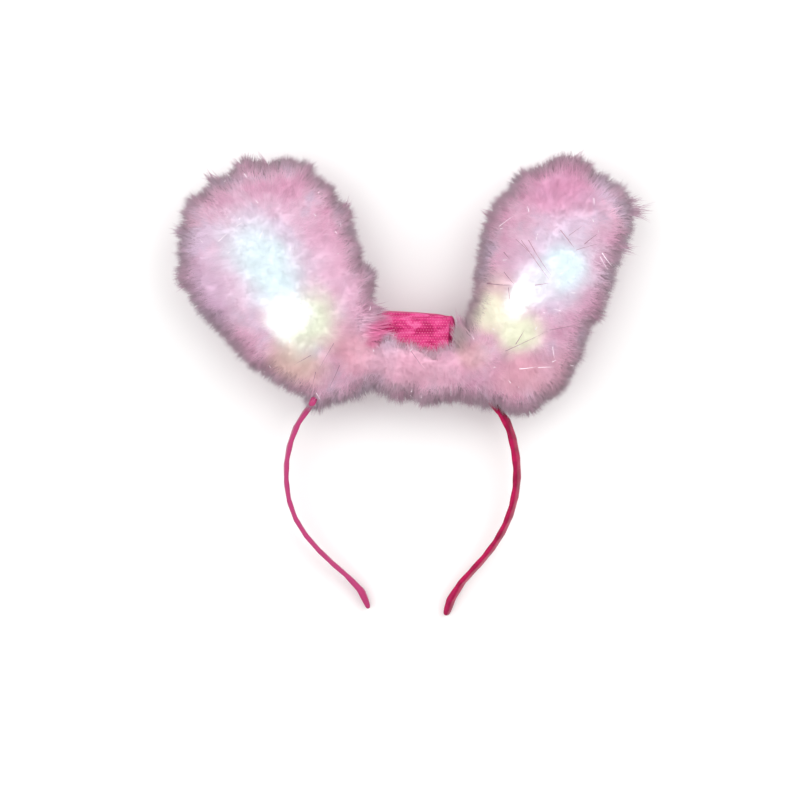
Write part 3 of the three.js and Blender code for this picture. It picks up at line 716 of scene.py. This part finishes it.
def sew_pouch():
    """The pouch: soft satin over the case, puffed up and creased by a cloth simulation."""
    low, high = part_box("battery_pouch")
    bpy.ops.object.select_all(action="DESELECT")
    bpy.ops.mesh.primitive_cube_add(size=1, location=(low + high) / 2, scale=high - low - Vector((POUCH_PUFF,) * 3))
    piece = bpy.context.object
    piece.name = "satin_battery_pouch"
    bpy.ops.object.transform_apply(location=True, rotation=True, scale=True)
    bpy.ops.object.mode_set(mode="EDIT")
    bpy.ops.mesh.select_all(action="SELECT")
    bpy.ops.mesh.bevel(offset=6 * MM, segments=3, affect="EDGES")
    bpy.ops.object.mode_set(mode="OBJECT")
    shape(piece, "REMESH", mode="VOXEL", voxel_size=1.4 * MM)
    puff_up(piece)
    shape(piece, "SMOOTH", factor=0.5, iterations=2)
    shape(piece, "SUBSURF", levels=2)
    bpy.ops.object.shade_smooth()
    piece.data.materials.append(glitter_satin())
    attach(piece, "root")
    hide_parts("battery_pouch")
    return piece


def net_spots(pouch):
    """Evenly spaced spots in staggered rows on the front, top and back of the pouch, with their normals."""
    low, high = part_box("battery_pouch")
    surface = tree_of(pouch)
    spots, normals = [], []
    for start, down, across, up in ((high.z, -2, 0, 1), (low.z, 2, 0, 1), (high.y, -1, 0, 2)):
        axis = abs(down)
        way = [0, 0, 0]
        way[axis] = math.copysign(1, down)
        for row, v in enumerate(np.arange(low[up], high[up], NET_PITCH)):
            for u in np.arange(low[across] + row % 2 * NET_PITCH / 2, high[across], NET_PITCH):
                origin = [0, 0, 0]
                origin[across], origin[up], origin[axis] = u, v, start - way[axis] * 5 * MM
                hit, normal, _, _ = surface.ray_cast(origin, way)
                if hit is not None and abs(normal[axis]) > 0.6:
                    spots.append(hit)
                    normals.append(normal)
    return np.array(spots), np.array(normals)


def sew_sequins(pouch):
    """Small round sequins on a net over the pouch, each a closed six-sided chip."""
    random = np.random.default_rng(51)
    places, normals = net_spots(pouch)
    tilt = unit(normals + random.normal(0, 0.15, normals.shape))
    side = unit(np.cross(tilt, (0.3, 0.9, 0.2)))
    other = np.cross(tilt, side)
    levels = []
    for rise in (0.05 * MM, 0.13 * MM):
        for corner in range(6):
            angle = math.pi * corner / 3
            levels.append(places + tilt * rise + SEQUIN_RADIUS * (math.cos(angle) * side + math.sin(angle) * other))
    corners = np.stack(levels, axis=1)
    plate = [(5, 4, 3, 2, 1, 0), (6, 7, 8, 9, 10, 11)] + [(k, (k + 1) % 6, 6 + (k + 1) % 6, 6 + k) for k in range(6)]
    faces = [[c + 12 * i for c in face] for i in range(len(places)) for face in plate]
    mesh = bpy.data.meshes.new("pouch_sequins")
    mesh.from_pydata(corners.reshape(-1, 3).tolist(), [], faces)
    piece = bpy.data.objects.new("pouch_sequins", mesh)
    bpy.context.scene.collection.objects.link(piece)
    piece.data.materials.append(plain_gloss("pink_sequin", SEQUIN_PINK, 0.15))
    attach(piece, "root")


def light_lamps():
    lens = plain_gloss("lit_lamp_lens", LAMP_WHITE, 0.1, 6.0)
    for name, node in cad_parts.items():
        if name.startswith("lamp_"):
            node.data.materials.clear()
            node.data.materials.append(lens)


def lay_floor():
    bpy.ops.object.select_all(action="DESELECT")
    bpy.ops.mesh.primitive_plane_add(size=6, location=(0, 0, 0))
    floor = bpy.context.object
    floor.name = "floor"
    floor.data.materials.append(plain_gloss("pale_floor", FLOOR_PALE, 0.8))


def area_light(name, place, size, power):
    data = bpy.data.lights.new(name, "AREA")
    data.size = size
    data.energy = power
    light = bpy.data.objects.new(name, data)
    light.location = place
    light.rotation_euler = (-Vector(place)).to_track_quat("-Z", "Y").to_euler()
    bpy.context.scene.collection.objects.link(light)


def light_room():
    area_light("key", (0.8, 0.6, 1.3), 1.4, 12)
    area_light("fill", (-0.8, 0.1, 1.5), 2.0, 18)
    world = bpy.data.worlds.new("room")
    world.use_nodes = True
    world.node_tree.nodes["Background"].inputs["Color"].default_value = (1, 1, 1, 1)
    world.node_tree.nodes["Background"].inputs["Strength"].default_value = 0.66
    bpy.context.scene.world = world


def place_camera():
    data = bpy.data.cameras.new("camera")
    data.lens = CAMERA_LENS
    camera = bpy.data.objects.new("camera", data)
    camera.location = (*CAMERA_MIDDLE, CAMERA_HEIGHT)
    bpy.context.scene.collection.objects.link(camera)
    bpy.context.scene.camera = camera


place_camera()
bpy.context.scene.view_settings.view_transform = "Standard"
lay_floor()
light_room()
ribbon = satin_ribbon()
wind_band(ribbon)
sew_sequins(sew_pouch())
light_lamps()
underdown = soft_form()
dress_down(underdown)
scatter_threads(underdown)
tie_knot(underdown, ribbon)
